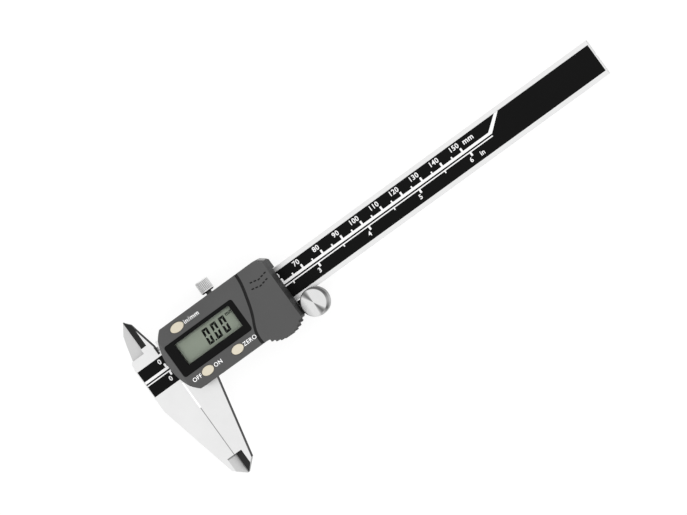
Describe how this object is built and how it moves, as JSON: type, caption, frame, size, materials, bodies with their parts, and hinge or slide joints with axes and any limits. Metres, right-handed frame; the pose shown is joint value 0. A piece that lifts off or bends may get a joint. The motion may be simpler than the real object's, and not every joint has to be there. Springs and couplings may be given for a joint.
{
  "type": "digital caliper",
  "caption": "Digital caliper with a sliding grey display housing, crossed inside jaws, tapered outside jaws, thumb roller, lock screw and depth rod.",
  "frame": {"origin": "on the back of the rear cover, at the line where the closed outside jaws meet and on the beam's centre line", "axes": "+X along the beam in the opening direction, +Y towards the inside jaws and lock screw, +Z out of the display"},
  "size_m": [0.2273, 0.0787, 0.0141],
  "materials": {
    "stainless_steel": "fine satin ground",
    "spring_steel": "plain",
    "screw_steel": "bright zinc",
    "turned_steel": "turned, with circular tool marks",
    "knurled_steel": "straight knurled",
    "blackened_steel": "black oxide",
    "brass": "plain",
    "gold_contacts": "gold plated",
    "scale_circuit": "glass-fibre strip",
    "scale_film": "satin printed film",
    "housing_plastic": "fine spark-eroded grey ABS",
    "bezel_plastic": "gloss black",
    "key_plastic": "satin ivory",
    "window_plastic": "clear acrylic",
    "lcd_glass": "reflective liquid crystal",
    "white_plastic": "moulded",
    "connector_rubber": "silicone",
    "board_laminate": "green solder mask",
    "chip_epoxy": "black resin",
    "cell_steel": "nickel plated",
    "port_plastic": "light grey"
  },
  "bodies": {
    "beam": {"beam": "stainless_steel", "scale_stator": "scale_circuit", "scale_label": "scale_film", "beam_end_stop": "stainless_steel", "end_stop_screws": "screw_steel"},
    "slider": {"slider_frame": "stainless_steel", "gib_strip": "brass", "gib_screws": "screw_steel", "rear_cover": "stainless_steel", "case_screws": "screw_steel", "depth_rod": "stainless_steel", "front_shell": "housing_plastic", "display_bezel": "bezel_plastic", "display_window": "window_plastic", "lcd_panel": "lcd_glass", "lcd_holder": "white_plastic", "zebra_connectors": "connector_rubber", "circuit_board": "board_laminate", "board_screws": "screw_steel", "sensor_plate": "scale_circuit", "measuring_chip": "chip_epoxy", "key_domes": "spring_steel", "battery": "cell_steel", "battery_contact_negative": "spring_steel", "battery_contact_positive": "spring_steel", "roller_bracket": "blackened_steel", "bracket_screw": "blackened_steel", "roller_axle": "screw_steel", "data_port_contacts": "gold_contacts"},
    "key_in_mm": {"key_in_mm": "key_plastic"},
    "key_on_off": {"key_on_off": "key_plastic"},
    "key_zero": {"key_zero": "key_plastic"},
    "battery_cover": {"battery_cover": "housing_plastic"},
    "lock_pad": {"lock_pad": "brass"},
    "lock_screw": {"lock_screw": "knurled_steel"},
    "thumb_roller": {"thumb_roller": "turned_steel"},
    "data_port_cover": {"data_port_cover": "port_plastic"}
  },
  "joints": [
    {"name": "slider_slide", "type": "slide", "parent": "beam", "child": "slider", "axis": [1, 0, 0], "range_m": [0, 0.15]},
    {"name": "roller_spin", "type": "hinge", "parent": "slider", "child": "thumb_roller", "pos_m": [0.0648, -0.01275, 0.005], "axis": [0, 0, 1], "continuous": true},
    {"name": "lock_pad_travel", "type": "slide", "parent": "slider", "child": "lock_pad", "axis": [0, 1, 0], "range_m": [0, 0.000675]},
    {"name": "lock_screw_turn", "type": "hinge", "parent": "lock_pad", "child": "lock_screw", "pos_m": [0.03055, 0.018, 0.0033], "axis": [0, 1, 0], "range_deg": [0, 541]},
    {"name": "in_mm_press", "type": "slide", "parent": "slider", "child": "key_in_mm", "axis": [0, 0, -1], "range_m": [0, 0.0005], "stiffness_N_per_m": 1500, "springref_m": -0.0003},
    {"name": "on_off_press", "type": "slide", "parent": "slider", "child": "key_on_off", "axis": [0, 0, -1], "range_m": [0, 0.0005], "stiffness_N_per_m": 1500, "springref_m": -0.0003},
    {"name": "zero_press", "type": "slide", "parent": "slider", "child": "key_zero", "axis": [0, 0, -1], "range_m": [0, 0.0005], "stiffness_N_per_m": 1500, "springref_m": -0.0003},
    {"name": "battery_cover_slide", "type": "slide", "parent": "slider", "child": "battery_cover", "axis": [1, 0, 0], "range_m": [0, 0.02]},
    {"name": "port_cover_pull", "type": "slide", "parent": "slider", "child": "data_port_cover", "axis": [0.6039, 0.7971, 0], "range_m": [0, 0.006]}
  ],
  "couplings": [
    {"joint": "roller_spin", "follows": "slider_slide", "rad_per_m": 212.77},
    {"joint": "lock_screw_turn", "follows": "lock_pad_travel", "rad_per_m": 13963}
  ]
}
